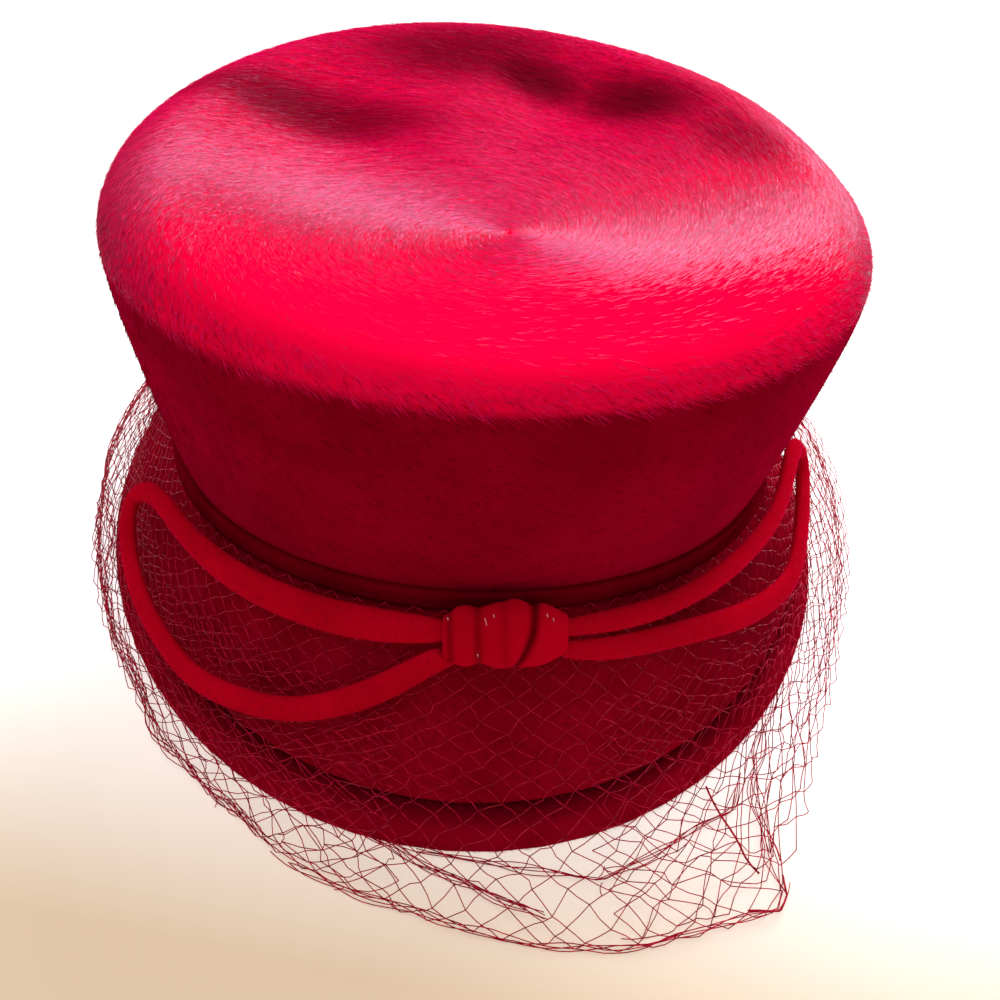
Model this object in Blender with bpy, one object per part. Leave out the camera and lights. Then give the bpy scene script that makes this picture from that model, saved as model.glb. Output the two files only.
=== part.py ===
"""Tall pillbox hat of long-napped felt, with a waist band, a flat bow and a net veil.

The hat stands on its rim on the plane z = 0. Its front faces -Y and its long
way runs along Y. Sizes are in metres, written as millimetres times MM.
Angles run round the hat from the front, towards +X.
"""
import math

import bmesh
import bpy
from mathutils import Vector

MM = 0.001

# Felt body, outside sizes
AROUND = 60
FELT = 2.2 * MM
GAP = 0.3 * MM
RIM_WIDTH = 189 * MM
RIM_LENGTH = 217.6 * MM
RIM_EDGE = 1.8 * MM
RIM_FOOT = 3.2 * MM
TIER_WIDTH = 177 * MM
TIER_LENGTH = 206.8 * MM
TIER_HEIGHT = 12.8 * MM
TIER_OVERHANG = 1.0 * MM
WAIST_WIDTH = 145.8 * MM
WAIST_LENGTH = 170.8 * MM
WAIST_FRONT = 55 * MM
WAIST_SIDE = 33 * MM
WAIST_BACK = 29 * MM
CROWN_WIDTH = 155.4 * MM
CROWN_LENGTH = 176.2 * MM
TIP_FRONT = 113.6 * MM
TIP_SIDE = 107.5 * MM
TIP_BACK = 102.3 * MM
CROWN_LEAN = 8.9 * MM
SHOULDER_FRONT = 7 * MM
SHOULDER_SIDE = 14.5 * MM
SHOULDER_BACK = 13 * MM
DISH_DEPTH = 9 * MM

# Waist band and bow
BAND_ABOVE = 2.6 * MM
BAND_BELOW = 2.2 * MM
BAND_THICK = 0.9 * MM
ROULEAU_WIDTH = 6.6 * MM
ROULEAU_THICK = 3.6 * MM
ROULEAU_SIDES = 8
KNOT_WIDTH = 23 * MM
KNOT_HEIGHT = 14.4 * MM
KNOT_THICK = 6.5 * MM
KNOT_SIDES = 12
KNOT_DROP = 0.1

# Veil
VEIL_COLUMNS = 24
VEIL_THICK = 1.0 * MM
VEIL_STRAND = 1.7 * MM
VEIL_HEM = 2.4 * MM
VEIL_LIFT = 1.2 * MM
VEIL_REACH = 30 * MM

# Crown side: share of the height from waist to shoulder, share of the swell
CROWN_SIDE = (
    (0.0, 0.0),
    (0.2, 0.26),
    (0.4, 0.50),
    (0.6, 0.71),
    (0.8, 0.87),
    (1.0, 0.97),
)
SHOULDER_STEPS = 4

# Tip: share of the way from the middle to the shoulder's top, share of the dish
CROWN_TIP = (
    (0.92, 0.10),
    (0.80, 0.42),
    (0.64, 0.80),
    (0.44, 1.0),
    (0.22, 1.0),
    (0.06, 0.98),
)

# Dents of the tip: degrees from the front, share of the way out, both spreads, share of the dish
DENTS = (
    (-122, 0.68, 26, 0.20, 0.40),
    (148, 0.72, 26, 0.20, 0.44),
    (92, 0.88, 16, 0.16, 0.28),
    (-160, 0.42, 30, 0.20, -0.16),
)

# Base slope: share of the way down, share of the way out
BASE_SLOPE = (
    (0.0, 0.0),
    (0.25, 0.23),
    (0.5, 0.48),
    (0.75, 0.74),
    (1.0, 1.0),
)

# Bow loops: degrees from the front, share of the way down the base, rise in rouleau
# thicknesses, share of the rouleau's width
LEFT_LOOP = (
    (-9.5, 0.10, 0.1, 1.15),
    (-19.1, 0.13, 0.0, 1.20),
    (-29.6, 0.15, 0.0, 1.20),
    (-43.0, 0.17, 0.0, 1.10),
    (-53.3, 0.17, 0.1, 0.95),
    (-60.5, 0.17, 0.3, 0.85),
    (-65.5, 0.22, 0.6, 0.80),
    (-68.5, 0.36, 0.9, 0.80),
    (-68.0, 0.52, 1.0, 0.80),
    (-63.8, 0.64, 1.0, 0.80),
    (-57.3, 0.75, 0.9, 0.82),
    (-51.3, 0.81, 0.7, 0.84),
    (-44.2, 0.84, 0.6, 0.86),
    (-37.3, 0.80, 0.4, 0.90),
    (-27.1, 0.68, 0.2, 0.88),
    (-18.1, 0.49, 0.0, 0.94),
    (-12.1, 0.34, 0.0, 0.98),
    (-9.5, 0.27, 0.1, 1.00),
)
RIGHT_LOOP = (
    (9.5, 0.10, 0.1, 0.80),
    (19.9, 0.12, 0.0, 0.80),
    (27.3, 0.12, 0.0, 0.78),
    (36.2, 0.11, 0.1, 0.76),
    (44.4, 0.08, 0.3, 0.76),
    (51.7, 0.05, 0.6, 0.76),
    (58.0, 0.03, 1.0, 0.78),
    (63.0, 0.04, 1.3, 0.80),
    (66.5, 0.13, 1.5, 0.80),
    (67.5, 0.28, 1.5, 0.80),
    (65.0, 0.41, 1.3, 0.82),
    (60.5, 0.47, 1.1, 0.86),
    (56.5, 0.50, 1.0, 0.90),
    (52.0, 0.53, 0.8, 0.92),
    (46.7, 0.50, 0.6, 0.94),
    (38.7, 0.42, 0.4, 0.95),
    (30.3, 0.33, 0.2, 0.92),
    (23.2, 0.29, 0.0, 0.88),
    (16.7, 0.26, 0.0, 0.85),
    (9.5, 0.25, 0.1, 0.85),
)
LOOP_STEPS = 2

# Knot: share of the half width, share of the height, share of the thickness
KNOT_ROLL = (
    (-1.0, 0.80, 0.74),
    (-0.80, 0.90, 0.86),
    (-0.62, 0.93, 0.92),
    (-0.30, 1.0, 1.0),
    (-0.12, 0.97, 0.93),
    (0.15, 1.0, 1.0),
    (0.55, 0.96, 0.97),
    (0.80, 0.90, 0.86),
    (1.0, 0.82, 0.74),
)

# Veil rows on the felt: share of the way from the veil's top down to the tier edge
VEIL_ON_BASE = (0.0, 0.5, 1.0)
# Veil rows past the tier edge: share of the reach, share of the tier's height
VEIL_PAST_RIM = (
    (0.30, 0.80),
    (0.68, 0.42),
    (1.0, 0.0),
)
# Veil hem: degrees from the front, share of the reach past the rim
VEIL_SPREAD = (
    (-180, 0.42),
    (-145, 0.36),
    (-118, 0.40),
    (-90, 0.25),
    (-62, 0.21),
    (-35, 0.25),
    (-15, 0.40),
    (0, 0.60),
    (11, 0.82),
    (20, 0.98),
    (27, 0.98),
    (35, 0.74),
    (46, 0.44),
    (62, 0.34),
    (80, 0.42),
    (100, 0.60),
    (122, 0.58),
    (150, 0.44),
    (180, 0.42),
)


def oval(angle, width, length, height, shift=0.0):
    """A point on an oval of the given outside width and length."""
    return Vector((width / 2 * math.sin(angle), shift - length / 2 * math.cos(angle), height))


def height_round(angle, front, side, back):
    """A height given at the front, the sides and the back, smooth between them."""
    mean = (front + back) / 4 + side / 2
    fore_and_aft = (front - back) / 2
    twofold = (front + back) / 4 - side / 2
    return mean + fore_and_aft * math.cos(angle) + twofold * math.cos(2 * angle)


def between(table, place):
    """The second column of a table where its first column is at the given place."""
    for (start, low), (end, high) in zip(table, table[1:]):
        if place <= end:
            return low + (high - low) * (place - start) / (end - start)
    return table[-1][1]


def waist_height(angle):
    return height_round(angle, WAIST_FRONT, WAIST_SIDE, WAIST_BACK)


def tip_height(angle):
    return height_round(angle, TIP_FRONT, TIP_SIDE, TIP_BACK)


def shoulder_radius(angle):
    """The shoulder's rounding, tight at the front and soft at the sides and back."""
    return height_round(angle, SHOULDER_FRONT, SHOULDER_SIDE, SHOULDER_BACK)


def crown_side(angle, share):
    """The crown's outer face, from the waist up to where the shoulder turns in."""
    swell = between(CROWN_SIDE, share)
    width = WAIST_WIDTH + (CROWN_WIDTH - WAIST_WIDTH) * swell
    length = WAIST_LENGTH + (CROWN_LENGTH - WAIST_LENGTH) * swell
    low = waist_height(angle)
    high = tip_height(angle) - shoulder_radius(angle)
    return oval(angle, width, length, low + (high - low) * share, -CROWN_LEAN * share)


def base_slope(angle, share):
    """The base's outer face, from the waist down to the tier edge."""
    out = between(BASE_SLOPE, share)
    width = WAIST_WIDTH + (TIER_WIDTH - WAIST_WIDTH) * out
    length = WAIST_LENGTH + (TIER_LENGTH - WAIST_LENGTH) * out
    low = waist_height(angle) - GAP
    return oval(angle, width, length, low + (TIER_HEIGHT - low) * share)


def outward(face, angle, share):
    """The outward direction of a face at an angle and a share."""
    step = 0.02
    along = face(angle + step, share) - face(angle - step, share)
    rise = face(angle, min(share + step, 1.0)) - face(angle, max(share - step, 0.0))
    out = along.cross(rise).normalized()
    place = face(angle, share)
    if out.x * place.x + out.y * place.y < 0:
        out = -out
    return out


def off_face(face, angle, share, distance):
    return face(angle, share) + outward(face, angle, share) * distance


def angles():
    return [2 * math.pi * step / AROUND for step in range(AROUND)]


def dent(angle, share):
    """How deep the tip is pressed in at a place, as a share of the dish."""
    depth = 0.0
    for degrees, ring, spread, ring_spread, share_deep in DENTS:
        turn = math.degrees(angle) - degrees
        turn = (turn + 180) % 360 - 180
        depth += share_deep * math.exp(-(turn / spread) ** 2 - ((share - ring) / ring_spread) ** 2)
    return depth


def tip_ring(share, drop):
    """One ring of the dished tip, inside the shoulder."""
    level = (TIP_FRONT + TIP_BACK) / 4 + TIP_SIDE / 2
    ring = []
    for angle in angles():
        inset = 2 * shoulder_radius(angle)
        width = CROWN_WIDTH - inset
        length = CROWN_LENGTH - inset
        height = level + (tip_height(angle) - level) * share
        height -= DISH_DEPTH * (drop + dent(angle, share))
        ring.append(oval(angle, width * share, length * share, height, -CROWN_LEAN))
    return ring


def shoulder_ring(turn):
    """One ring of the rounded shoulder; the turn runs from 0 to a right angle."""
    ring = []
    for angle in angles():
        radius = shoulder_radius(angle)
        inset = 2 * radius * (1 - math.cos(turn))
        height = tip_height(angle) - radius * (1 - math.sin(turn))
        height -= DISH_DEPTH * dent(angle, 1.0) * math.sin(turn)
        ring.append(oval(angle, CROWN_WIDTH - inset, CROWN_LENGTH - inset, height, -CROWN_LEAN))
    return ring


def felt(name, colour, roughness=0.85):
    """A plain cloth material in the piece's own colour."""
    material = bpy.data.materials.new(name)
    material.use_nodes = True
    shader = material.node_tree.nodes["Principled BSDF"]
    shader.inputs["Base Color"].default_value = (*colour, 1.0)
    shader.inputs["Roughness"].default_value = roughness
    shader.inputs["Metallic"].default_value = 0.0
    return material


def finish(name, mesh_maker, material):
    """Puts a bmesh into an object of its own and shades it smooth."""
    mesh = bpy.data.meshes.new(name)
    mesh_maker.to_mesh(mesh)
    mesh_maker.free()
    mesh.materials.append(material)
    mesh.shade_smooth()
    mesh.set_sharp_from_angle(angle=math.radians(40))
    piece = bpy.data.objects.new(name, mesh)
    bpy.context.scene.collection.objects.link(piece)
    return piece


def join_rings(maker, rings, loop_round):
    """Joins rings of points by quads; loop_round also joins the last ring to the first."""
    rows = [[maker.verts.new(point) for point in ring] for ring in rings]
    pairs = list(zip(rows, rows[1:]))
    if loop_round:
        pairs.append((rows[-1], rows[0]))
    count = len(rows[0])
    for low, high in pairs:
        for step in range(count):
            after = (step + 1) % count
            maker.faces.new((low[step], low[after], high[after], high[step]))
    return rows


def turned_solid(name, section, material):
    """A closed ring whose section, a list of points for each angle, runs round the hat."""
    stations = [section(angle) for angle in angles()]
    rings = [list(ring) for ring in zip(*stations)]
    maker = bmesh.new()
    join_rings(maker, rings, True)
    bmesh.ops.recalc_face_normals(maker, faces=maker.faces)
    return finish(name, maker, material)


def make_crown(material):
    """The crown: a felt shell, open below, with a rounded shoulder and a dished tip."""
    rings = [[crown_side(angle, share) for angle in angles()] for share, _ in CROWN_SIDE]
    for step in range(1, SHOULDER_STEPS + 1):
        rings.append(shoulder_ring(math.pi / 2 * step / SHOULDER_STEPS))
    rings += [tip_ring(share, drop) for share, drop in CROWN_TIP]
    maker = bmesh.new()
    rows = join_rings(maker, rings, False)
    maker.faces.new(rows[-1])
    crown = finish("crown", maker, material)
    wall = crown.modifiers.new("felt", 'SOLIDIFY')
    wall.thickness = FELT
    wall.offset = -1.0
    return crown


def base_section(angle):
    outer = [base_slope(angle, share) for share, _ in BASE_SLOPE]
    lip = oval(angle, TIER_WIDTH - GAP, TIER_LENGTH - GAP, TIER_HEIGHT - FELT)
    inset = 2 * (TIER_OVERHANG + FELT)
    heel = oval(angle, TIER_WIDTH - inset, TIER_LENGTH - inset, TIER_HEIGHT - FELT)
    inner = [off_face(base_slope, angle, share, -FELT) for share, _ in BASE_SLOPE[-2::-1]]
    return outer + [lip, heel] + inner


def make_base(material):
    """The base: the sloping felt tier from the waist down to its crisp edge."""
    return turned_solid("base", base_section, material)


def brim_section(angle):
    top = TIER_HEIGHT - FELT - GAP
    outer_top = 2 * TIER_OVERHANG
    inner_top = outer_top + 2 * FELT
    middle_width = (TIER_WIDTH + RIM_WIDTH) / 2 - 2 * TIER_OVERHANG
    middle_length = (TIER_LENGTH + RIM_LENGTH) / 2 - 2 * TIER_OVERHANG
    middle = (top + RIM_EDGE) / 2
    return [
        oval(angle, TIER_WIDTH - outer_top, TIER_LENGTH - outer_top, top),
        oval(angle, middle_width, middle_length, middle),
        oval(angle, RIM_WIDTH, RIM_LENGTH, RIM_EDGE),
        oval(angle, RIM_WIDTH - GAP, RIM_LENGTH - GAP, 0.0),
        oval(angle, RIM_WIDTH - 2 * RIM_FOOT, RIM_LENGTH - 2 * RIM_FOOT, 0.0),
        oval(angle, middle_width - 2 * FELT, middle_length - 2 * FELT, middle - FELT / 2),
        oval(angle, TIER_WIDTH - inner_top, TIER_LENGTH - inner_top, top),
    ]


def make_brim(material):
    """The brim: the short flared flange under the tier edge, flat where it stands."""
    return turned_solid("brim", brim_section, material)


def band_section(angle):
    rise = tip_height(angle) - shoulder_radius(angle) - waist_height(angle)
    drop = waist_height(angle) - TIER_HEIGHT
    above = BAND_ABOVE / rise
    below = BAND_BELOW / drop
    return [
        off_face(crown_side, angle, above, GAP),
        off_face(crown_side, angle, 0.0, GAP),
        off_face(base_slope, angle, below, GAP),
        off_face(base_slope, angle, below, GAP + BAND_THICK),
        off_face(crown_side, angle, 0.0, 2 * GAP + BAND_THICK),
        off_face(crown_side, angle, above, GAP + BAND_THICK),
    ]


def make_waist_band(material):
    """The narrow band that covers the join of crown and base."""
    return turned_solid("waist_band", band_section, material)


def smooth_path(rows, steps):
    """A smooth run through the rows of a table, each row a tuple of numbers."""
    points = [Vector(row) for row in rows]
    points = [points[0] * 2 - points[1], *points, points[-1] * 2 - points[-2]]
    path = []
    for a, b, c, d in zip(points, points[1:], points[2:], points[3:]):
        for step in range(steps):
            t = step / steps
            bend = (2 * a - 5 * b + 4 * c - d) * t * t + (3 * b - a - 3 * c + d) * t ** 3
            path.append(b + ((c - a) * t + bend) / 2)
    path.append(points[-2])
    return path


def bow_seat():
    """How far the rouleau's middle stands off the base, over the veil's top edge."""
    return VEIL_LIFT + VEIL_THICK / 2 + 2 * GAP + ROULEAU_THICK / 2


def rouleau(name, rows, material):
    """A bow loop: a flattened tube of felt that lies on the base, ends at the knot."""
    middles = []
    outs = []
    widths = []
    for degrees, share, rise, width_share in smooth_path(rows, LOOP_STEPS):
        angle = math.radians(degrees)
        widths.append(ROULEAU_WIDTH * width_share)
        stand = bow_seat() + rise * ROULEAU_THICK
        middles.append(off_face(base_slope, angle, share, stand))
        outs.append(outward(base_slope, angle, share))
    rings = []
    last = len(middles) - 1
    for place, (middle, out) in enumerate(zip(middles, outs)):
        along = middles[min(place + 1, last)] - middles[max(place - 1, 0)]
        across = along.cross(out).normalized()
        up = across.cross(along).normalized()
        ring = []
        for side in range(ROULEAU_SIDES):
            turn = 2 * math.pi * (side + 0.5) / ROULEAU_SIDES
            reach = across * math.cos(turn) * widths[place] / 2
            ring.append(middle + reach + up * math.sin(turn) * ROULEAU_THICK / 2)
        rings.append(ring)
    maker = bmesh.new()
    rows_made = join_rings(maker, rings, False)
    maker.faces.new(rows_made[0])
    maker.faces.new(rows_made[-1])
    bmesh.ops.recalc_face_normals(maker, faces=maker.faces)
    return finish(name, maker, material)


def make_bow_knot(material):
    """The bow's knot: a short flattened roll at the front, with its wrap folds."""
    seat = bow_seat() - ROULEAU_THICK / 2 + KNOT_THICK / 2
    middle = off_face(base_slope, 0.0, KNOT_DROP, seat)
    out = outward(base_slope, 0.0, KNOT_DROP)
    along = Vector((1.0, 0.0, 0.0))
    up = along.cross(out).normalized()
    rings = []
    for place, tall, thick in KNOT_ROLL:
        ring = []
        for side in range(KNOT_SIDES):
            turn = 2 * math.pi * side / KNOT_SIDES
            point = middle + along * place * KNOT_WIDTH / 2
            point = point + up * math.sin(turn) * tall * KNOT_HEIGHT / 2
            ring.append(point + out * math.cos(turn) * thick * KNOT_THICK / 2)
        rings.append(ring)
    maker = bmesh.new()
    rows = join_rings(maker, rings, False)
    maker.faces.new(rows[0])
    maker.faces.new(rows[-1])
    bmesh.ops.recalc_face_normals(maker, faces=maker.faces)
    return finish("bow_knot", maker, material)


def veil_reach(angle):
    degrees = (math.degrees(angle) + 180) % 360 - 180
    return VEIL_REACH * between(VEIL_SPREAD, degrees)


def veil_point(angle, row):
    """A point of the net at one of its rows, counted from the waist to the hem."""
    on_base = len(VEIL_ON_BASE)
    if row < on_base:
        top = (BAND_BELOW + VEIL_HEM + 2 * GAP) / (waist_height(angle) - TIER_HEIGHT)
        share = top + (1 - top) * VEIL_ON_BASE[row]
        return off_face(base_slope, angle, share, VEIL_LIFT)
    reach_share, height_share = VEIL_PAST_RIM[row - on_base]
    reach = 2 * veil_reach(angle) * reach_share
    height = TIER_HEIGHT * height_share + VEIL_THICK / 2 + GAP
    return oval(angle, RIM_WIDTH + reach, RIM_LENGTH + reach, height)


def make_veil(material):
    """The veil: a wide diamond net from under the bow to its hem on the surface."""
    columns = 2 * VEIL_COLUMNS
    last = len(VEIL_ON_BASE) + len(VEIL_PAST_RIM) - 1

    def node(column, row):
        return veil_point(2 * math.pi * column / columns, row)

    def hem_point(column, row, beside):
        edge = node(column, row)
        return edge + (edge - node(column, beside)).normalized() * VEIL_HEM

    maker = bmesh.new()
    mesh_corners = {}
    for row in range(last + 1):
        for column in range((row + 1) % 2, columns, 2):
            middle = node(column, row)
            ends = {
                "left": node(column - 1, row),
                "right": node(column + 1, row),
                "top": node(column, max(row - 1, 0)),
                "bottom": node(column, min(row + 1, last)),
            }
            wide = (ends["right"] - ends["left"]).length / 2
            tall = max((ends[side] - middle).length for side in ("top", "bottom"))
            open_share = 1 - VEIL_STRAND * math.hypot(wide, tall) / (2 * wide * tall)
            for side, end in ends.items():
                off_edge = (side == "top" and row == 0) or (side == "bottom" and row == last)
                if not off_edge:
                    place = middle + (end - middle) * open_share
                    mesh_corners[column, row, side] = maker.verts.new(place)
    top_hem = [maker.verts.new(hem_point(column, 0, 1)) for column in range(columns)]
    low_hem = [maker.verts.new(hem_point(column, last, last - 1)) for column in range(columns)]
    for vert in low_hem:
        vert.co.z = VEIL_THICK / 2 + GAP

    def corner(column, row, side):
        return mesh_corners[column % columns, row, side]

    for row in range(last + 1):
        for column in range(row % 2, columns, 2):
            above = top_hem[column] if row == 0 else corner(column, row - 1, "bottom")
            below = low_hem[column] if row == last else corner(column, row + 1, "top")
            right = corner(column + 1, row, "left")
            left = corner(column - 1, row, "right")
            maker.faces.new((above, left, below, right))
            if row == last:
                continue
            maker.faces.new((right, below, corner(column, row + 1, "right"),
                             corner(column + 1, row, "bottom")))
            maker.faces.new((below, left, corner(column - 1, row, "bottom"),
                             corner(column, row + 1, "left")))
    for hem, row in ((top_hem, 0), (low_hem, last)):
        for column in range((row + 1) % 2, columns, 2):
            left = corner(column, row, "left")
            right = corner(column, row, "right")
            rim = [hem[(column + step) % columns] for step in (1, 0, -1)]
            maker.faces.new((left, right, *rim))
            if row == 0:
                maker.faces.new((left, corner(column, row, "bottom"), right))
    bmesh.ops.recalc_face_normals(maker, faces=maker.faces)
    bmesh.ops.triangulate(maker, faces=maker.faces)
    veil = finish("veil", maker, material)
    wall = veil.modifiers.new("thread", 'SOLIDIFY')
    wall.thickness = VEIL_THICK
    wall.offset = 0.0
    return veil


def centre_on_floor(pieces):
    """Moves all the pieces so that the middle of their outer box stands at the origin."""
    bpy.context.view_layer.update()
    depsgraph = bpy.context.evaluated_depsgraph_get()
    corners = []
    for piece in pieces:
        corners += [Vector(corner) for corner in piece.evaluated_get(depsgraph).bound_box]
    middle = Vector((0.0, 0.0, min(corner.z for corner in corners)))
    for axis in (0, 1):
        values = [corner[axis] for corner in corners]
        middle[axis] = (min(values) + max(values)) / 2
    for piece in pieces:
        for vert in piece.data.vertices:
            vert.co -= middle


def make_hat():
    crown_felt = felt("crown_felt", (0.40, 0.004, 0.018))
    base_felt = felt("base_felt", (0.14, 0.003, 0.008))
    bow_felt = felt("bow_felt", (0.34, 0.004, 0.012))
    net = felt("veil_net", (0.24, 0.01, 0.03), 0.6)
    pieces = [
        make_crown(crown_felt),
        make_base(base_felt),
        make_brim(base_felt),
        make_waist_band(bow_felt),
        rouleau("bow_loop_left", LEFT_LOOP, bow_felt),
        rouleau("bow_loop_right", RIGHT_LOOP, bow_felt),
        make_bow_knot(bow_felt),
        make_veil(net),
    ]
    centre_on_floor(pieces)


for old in list(bpy.data.objects):
    bpy.data.objects.remove(old)
make_hat()
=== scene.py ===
"""Looks of the tall pillbox hat: napped felt, velvety bow and fine net veil."""
import math

import bmesh
import bpy
import numpy as np
from mathutils import Matrix, Vector
from mathutils.bvhtree import BVHTree


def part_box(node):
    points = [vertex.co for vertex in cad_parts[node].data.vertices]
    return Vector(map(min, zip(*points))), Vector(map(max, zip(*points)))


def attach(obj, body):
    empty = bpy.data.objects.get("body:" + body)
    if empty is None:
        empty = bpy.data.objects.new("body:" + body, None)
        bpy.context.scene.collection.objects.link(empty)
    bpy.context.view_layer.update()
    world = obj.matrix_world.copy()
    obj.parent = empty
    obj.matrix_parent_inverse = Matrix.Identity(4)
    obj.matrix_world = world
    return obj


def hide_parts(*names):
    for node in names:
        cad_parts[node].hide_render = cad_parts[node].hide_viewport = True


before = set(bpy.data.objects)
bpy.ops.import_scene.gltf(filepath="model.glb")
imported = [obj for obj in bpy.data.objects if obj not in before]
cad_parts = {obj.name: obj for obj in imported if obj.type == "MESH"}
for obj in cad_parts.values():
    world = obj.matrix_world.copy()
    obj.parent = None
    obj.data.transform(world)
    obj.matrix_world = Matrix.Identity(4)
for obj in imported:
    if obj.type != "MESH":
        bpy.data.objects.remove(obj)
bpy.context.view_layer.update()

MM = 0.001


# The hat's middle and its sizes, read from the solids

def middle_of(node):
    low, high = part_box(node)
    return Vector(((low.x + high.x) / 2, (low.y + high.y) / 2, 0.0))


HAT = middle_of("brim")
CROWN_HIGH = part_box("crown")[1]
BASE_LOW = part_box("base")[0]
BRIM_LOW, BRIM_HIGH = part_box("brim")
BAND_LOW, BAND_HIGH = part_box("waist_band")
KNOT_LOW, KNOT_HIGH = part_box("bow_knot")
BRIM_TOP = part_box("brim")[1].z

# Where the tip's nap whirls
WHIRL = HAT + Vector((2.5 * MM, -33.5 * MM, 0.0))

# Felt colours
# Painted shade for the tip's dark patches and the hairs in them
TIP_PAINTED_SHADE = (0.16, 0.0004, 0.009)
TIP_DEEP = (0.84, 0.0005, 0.036)
TIP_BRIGHT = (0.97, 0.0006, 0.050)
NAP_DEEP = (0.70, 0.0006, 0.050)
NAP_BRIGHT = (0.98, 0.0012, 0.125)
# The side is painted far darker than the tip: painted shade, where the light from above does not fall
SIDE_DEEP = (0.22, 0.0003, 0.009)
SIDE_BRIGHT = (0.30, 0.0004, 0.015)
BASE_DEEP = (0.24, 0.0005, 0.009)
BASE_BRIGHT = (0.34, 0.0008, 0.015)
BOW_DEEP = (0.44, 0.0004, 0.010)
BOW_BRIGHT = (0.54, 0.0005, 0.014)
# The band is painted much darker than the bow: painted shade where it lies between the crown and the
# bow's strands
BAND_PAINTED_SHADE_DEEP = (0.13, 0.0003, 0.004)
BAND_PAINTED_SHADE_BRIGHT = (0.18, 0.0003, 0.006)
NAP_SHINE = (0.70, 0.31, 0.88)
THREAD_SHINE = (1.0, 0.10, 0.18)
FELT_SHEEN = (1.0, 0.01, 0.12)
CROWN_SHEEN = (1.0, 0.01, 0.16)
BRIM_SHADE = (0.05, 0.0002, 0.003)
CREASE_SHADE = (0.12, 0.0002, 0.003)

# Patches of painted shade on the tip, in millimetres from the hat's middle:
# right, back, half length, half width, turn in degrees, strength
PAINTED_SHADE_PATCHES = (
    (-36.0, 22.0, 32.0, 12.0, -2.0, 0.86),
    (16.0, 46.0, 19.0, 9.0, -38.0, 0.95),
    (38.0, 30.0, 19.0, 10.0, -42.0, 0.95),
    (56.0, 2.0, 17.0, 7.0, -68.0, 0.55),
    (-2.0, 54.0, 27.0, 13.0, 6.0, 0.80),
)

# Lobes of the tip where the glossy hairs stand thickest, in the same terms; they lie where the pink
# highlight falls, and the hairs' pinker colour massed there is partly painted highlight beside their
# real gloss
GLOSSY_HIGHLIGHT_LOBES = (
    (38.0, -38.0, 40.0, 17.0, -7.0, 1.0),
    (-40.0, -27.0, 40.0, 17.0, 2.0, 0.9),
    (2.0, -30.0, 16.0, 9.0, 0.0, 0.6),
    (-76.0, -14.0, 12.0, 26.0, 0.0, 0.5),
)


# Stage

CAMERA_TURN = -7.9
CAMERA_RISE = 44.98
CAMERA_ROLL = 5.03
CAMERA_AWAY = 287.3 * MM
CAMERA_TARGET = HAT + Vector((9.4 * MM, -1.3 * MM, -4.1 * MM))
LENS = 36
SENSOR_WIDTH = 36
FLOOR_SIZE = 8
FLOOR_WHITE = (0.86, 0.86, 0.87)
# Painted shade at the floor's front left, warm in tone
FLOOR_PAINTED_SHADE = (0.50, 0.385, 0.27)
FLOOR_GLOW = 0.8

# The floor turns from white to a warm painted shade between two lines that slant across it: metres
# behind its middle, to which this share of the metres to the right is added
FLOOR_SLANT = 0.25
FLOOR_WHITE_TO = -0.055
FLOOR_PAINTED_SHADE_FROM = -0.135

LIGHT_COLOUR = (1.0, 0.98, 0.98)
ROOM_LIGHT = 0.38
WINDOW_PLACE = (0.46, 0.78, 0.79)
WINDOW_POWER = 14
WINDOW_SIZE = 0.8
CEILING_PLACE = (-0.10, -0.18, 1.15)
CEILING_POWER = 5.5
CEILING_SIZE = 0.8


def make_camera():
    """A close camera in front of the hat and a little to its left, held slightly rolled."""
    turn = math.radians(CAMERA_TURN)
    rise = math.radians(CAMERA_RISE)
    back = Vector((math.sin(turn) * math.cos(rise), -math.cos(turn) * math.cos(rise), math.sin(rise)))
    lens = bpy.data.cameras.new("camera")
    lens.lens = LENS
    lens.sensor_width = SENSOR_WIDTH
    camera = bpy.data.objects.new("camera", lens)
    pose = Matrix.Rotation(turn, 4, 'Z') @ Matrix.Rotation(math.pi / 2 - rise, 4, 'X')
    pose = pose @ Matrix.Rotation(math.radians(CAMERA_ROLL), 4, 'Z')
    camera.matrix_world = Matrix.Translation(CAMERA_TARGET + back * CAMERA_AWAY) @ pose
    lens.clip_start = 0.01
    bpy.context.scene.collection.objects.link(camera)
    bpy.context.scene.camera = camera


def make_light(name, place, power, size):
    """A square lamp that faces the hat."""
    lamp = bpy.data.lights.new(name, 'AREA')
    lamp.energy = power
    lamp.size = size
    lamp.color = LIGHT_COLOUR
    light = bpy.data.objects.new(name, lamp)
    light.location = place
    light.rotation_mode = 'QUATERNION'
    light.rotation_quaternion = (HAT - Vector(place)).to_track_quat('-Z', 'Y')
    bpy.context.scene.collection.objects.link(light)
    return light


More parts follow.
